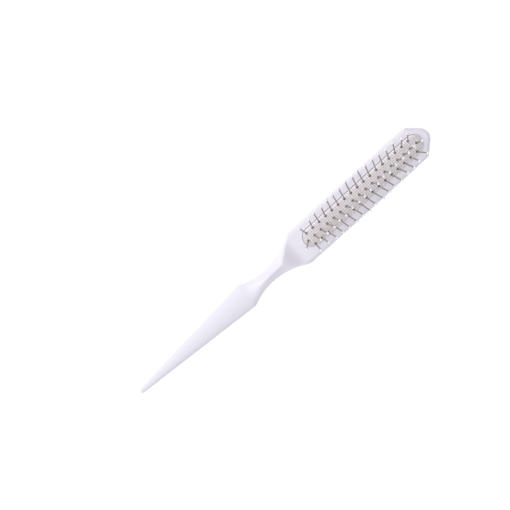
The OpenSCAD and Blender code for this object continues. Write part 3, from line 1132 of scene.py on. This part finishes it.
class BRUSH_OT_cushion(bpy.types.Operator):
    """Builds the moulded rubber cushion with its flange, pierced for the wires"""

    bl_idname = "pin_brush.cushion"
    bl_label = "Build Cushion"

    STRAIGHT_STEPS = 120

    def execute(self, context):
        sizes, cushion, finish, _ = settings()
        face, ledge = sizes.head_height, RUBBER_LOW.z
        half = CLOTH_HIGH.y - cushion.cloth_thickness
        top = CLOTH_HIGH.z - face - cushion.cloth_thickness
        inner_half, inner_top = half - cushion.rubber_thickness, top - cushion.rubber_thickness
        flange_top = ledge + cushion.flange_thickness
        section = crown_line(half, top, face)
        section += [(half, flange_top), (RUBBER_HIGH.y, flange_top)]
        section += [(RUBBER_HIGH.y, ledge), (inner_half, ledge)]
        section += crown_line(inner_half, inner_top, face)[::-1]
        rubber = stadium_loft("cushion_rubber", section, self.STRAIGHT_STEPS)
        # Round the middle row's pins, the rubber swells up into the facing's holes
        middle = [node for node in PIN_NODES if node.startswith("middle_row")]
        foot, rim = -cushion.rubber_thickness, -cushion.collar_depth
        carve(rubber, pin_bars("collars", cushion.collar_diameter, cushion, middle, foot, rim), "UNION")
        root = cushion.pin_root
        carve(rubber, pin_bars("wire_cutters", cushion.wire_hole_diameter, cushion, PIN_NODES, -root, root))
        fit_soft_piece(rubber, moulded_rubber(finish), "rubber_cushion")
        return {"FINISHED"}


class BRUSH_OT_facing(bpy.types.Operator):
    """Builds the woven facing over the cushion, punched and drawn down round each pin"""

    bl_idname = "pin_brush.facing"
    bl_label = "Build Facing"

    STRAIGHT_STEPS = 240
    ARC_STEPS = 32

    def execute(self, context):
        sizes, cushion, finish, _ = settings()
        face = sizes.head_height
        half, top = CLOTH_HIGH.y, CLOTH_HIGH.z - face
        inner_half, inner_top = half - cushion.cloth_thickness, top - cushion.cloth_thickness
        section = crown_line(half, top, face)
        section += [(half, CLOTH_LOW.z), (inner_half, CLOTH_LOW.z)]
        section += crown_line(inner_half, inner_top, face)[::-1]
        lengths = [0.0]
        for (r0, z0), (r1, z1) in zip(section, section[1:]):
            lengths.append(lengths[-1] + math.hypot(r1 - r0, z1 - z0))
        facing = stadium_loft("woven_facing", section, self.STRAIGHT_STEPS, self.ARC_STEPS, lengths)
        self.pucker(facing, cushion, face)
        root = cushion.pin_root
        carve(facing, pin_bars("punch_cutters", cushion.hole_diameter, cushion, PIN_NODES, -root, root))
        fit_soft_piece(facing, woven_cotton(finish), "facing_cloth")
        return {"FINISHED"}

    def pucker(self, facing, cushion, face):
        """Draws the facing down a little round each pin."""
        points = np.array([v.co for v in facing.data.vertices])
        drop = np.zeros(len(points))
        for node in PIN_NODES:
            bottom, top = pin_line(node)
            base = bottom + (top - bottom) * (cushion.pin_root / np.linalg.norm(top - bottom))
            away = np.linalg.norm(points[:, :2] - base[:2], axis=1) / cushion.pucker_radius
            drop = np.maximum(drop, cushion.pucker_depth * (1 - ease(away)))
        points[:, 2] -= drop * (points[:, 2] > face)
        facing.data.vertices.foreach_set("co", points.ravel())
        facing.data.update()


class BRUSH_OT_pins(bpy.types.Operator):
    """Finishes the steel pins"""

    bl_idname = "pin_brush.pins"
    bl_label = "Finish Pins"

    def execute(self, context):
        material = drawn_wire(settings()[2])
        for name in PIN_NODES:
            dress(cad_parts[name], material)
        return {"FINISHED"}


class BRUSH_OT_ball_tips(bpy.types.Operator):
    """Finishes the balls on the pins' tips"""

    bl_idname = "pin_brush.ball_tips"
    bl_label = "Finish Ball Tips"

    def execute(self, context):
        material = moulded_nylon(settings()[2])
        for name in TIP_NODES:
            dress(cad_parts[name], material)
        return {"FINISHED"}


class BRUSH_PT_panel(bpy.types.Panel):
    """Lists the brush's pieces, sizes and colours"""

    bl_idname = "BRUSH_PT_panel"
    bl_label = "Wire Pin Tail Brush"
    bl_space_type = "VIEW_3D"
    bl_region_type = "UI"
    bl_category = "Brush"

    def draw(self, context):
        for operator in OPERATORS:
            self.layout.operator(operator.bl_idname)
        for group in settings():
            box = self.layout.box()
            for name in group.bl_rna.properties.keys():
                if name not in ("rna_type", "name"):
                    box.prop(group, name)


OPERATORS = (
    BRUSH_OT_stage,
    BRUSH_OT_handle,
    BRUSH_OT_cushion,
    BRUSH_OT_facing,
    BRUSH_OT_pins,
    BRUSH_OT_ball_tips,
)
GROUPS = {
    "brush_handle": BrushHandleSizes,
    "brush_cushion": BrushCushionSizes,
    "brush_finish": BrushFinish,
    "brush_stage": BrushStage,
}


def register():
    for made in (*GROUPS.values(), *OPERATORS, BRUSH_PT_panel):
        bpy.utils.register_class(made)
    for name, group in GROUPS.items():
        setattr(bpy.types.Scene, name, PointerProperty(type=group))


def unregister():
    for name in GROUPS:
        delattr(bpy.types.Scene, name)
    for made in (BRUSH_PT_panel, *reversed(OPERATORS), *reversed(GROUPS.values())):
        bpy.utils.unregister_class(made)


def main():
    register()
    bpy.ops.pin_brush.stage()
    bpy.ops.pin_brush.handle()
    bpy.ops.pin_brush.cushion()
    bpy.ops.pin_brush.facing()
    bpy.ops.pin_brush.pins()
    bpy.ops.pin_brush.ball_tips()


if __name__ == "__main__":
    main()
